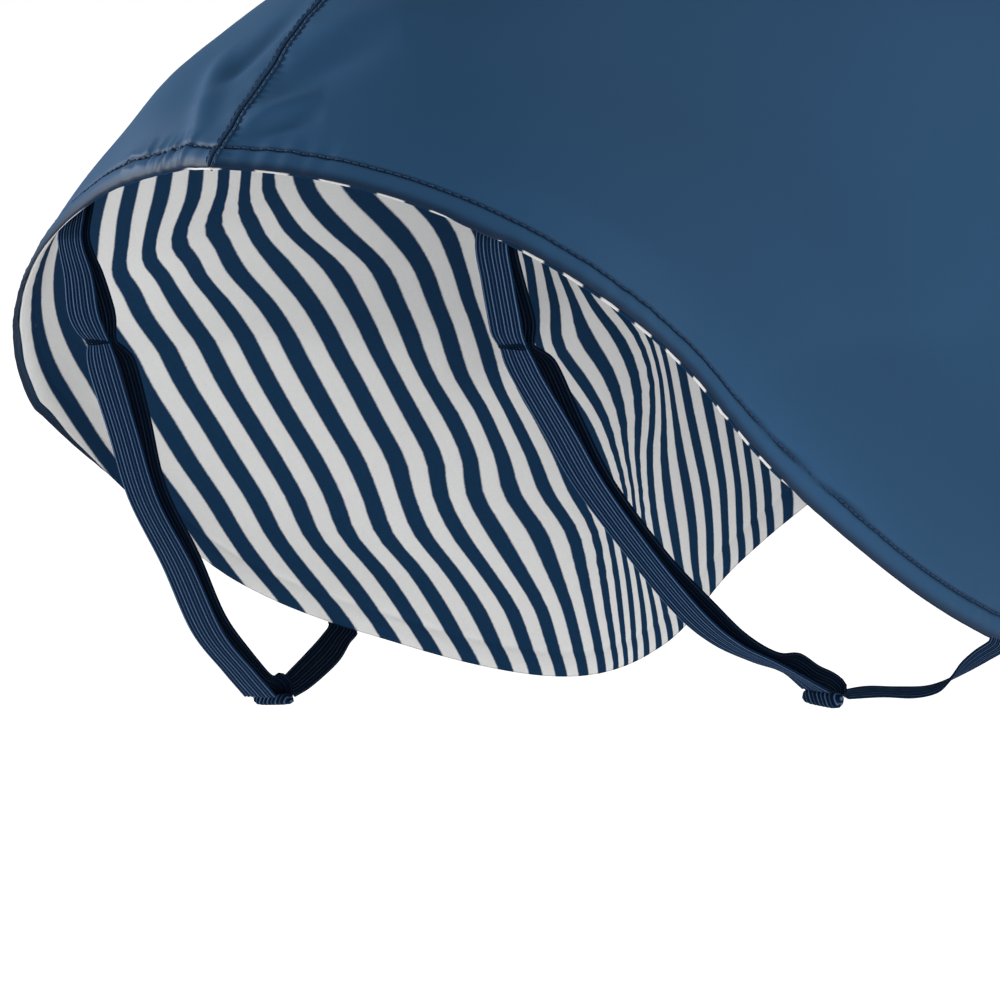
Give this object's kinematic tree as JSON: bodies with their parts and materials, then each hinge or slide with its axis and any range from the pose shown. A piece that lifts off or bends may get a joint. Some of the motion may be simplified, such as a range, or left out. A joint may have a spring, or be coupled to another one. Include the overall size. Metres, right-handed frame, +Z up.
{
  "type": "dog raincoat",
  "caption": "Hollow worn raincoat for a dog: smooth coated shell, striped lining and elastic hind leg loops.",
  "frame": {"origin": "on the lining's inner face at the middle of the back, where the wearer's back holds the coat up", "axes": "+X towards the dog's head, +Y towards its left side, +Z up"},
  "size_m": [0.5618, 0.2302, 0.2637],
  "materials": {
    "shell": "smooth coated, satin",
    "lining": "matt, navy and off-white stripes",
    "elastic": "matt, ribbed lengthwise"
  },
  "bodies": {
    "root": {"shell_left": "shell", "shell_right": "shell", "shell_belly": "shell", "lining_left": "lining", "lining_right": "lining", "elastic_front_left": "elastic", "elastic_back_left": "elastic", "elastic_keeper_left": "elastic", "elastic_return_left": "elastic", "elastic_front_right": "elastic", "elastic_back_right": "elastic", "elastic_keeper_right": "elastic", "elastic_return_right": "elastic"}
  },
  "joints": []
}
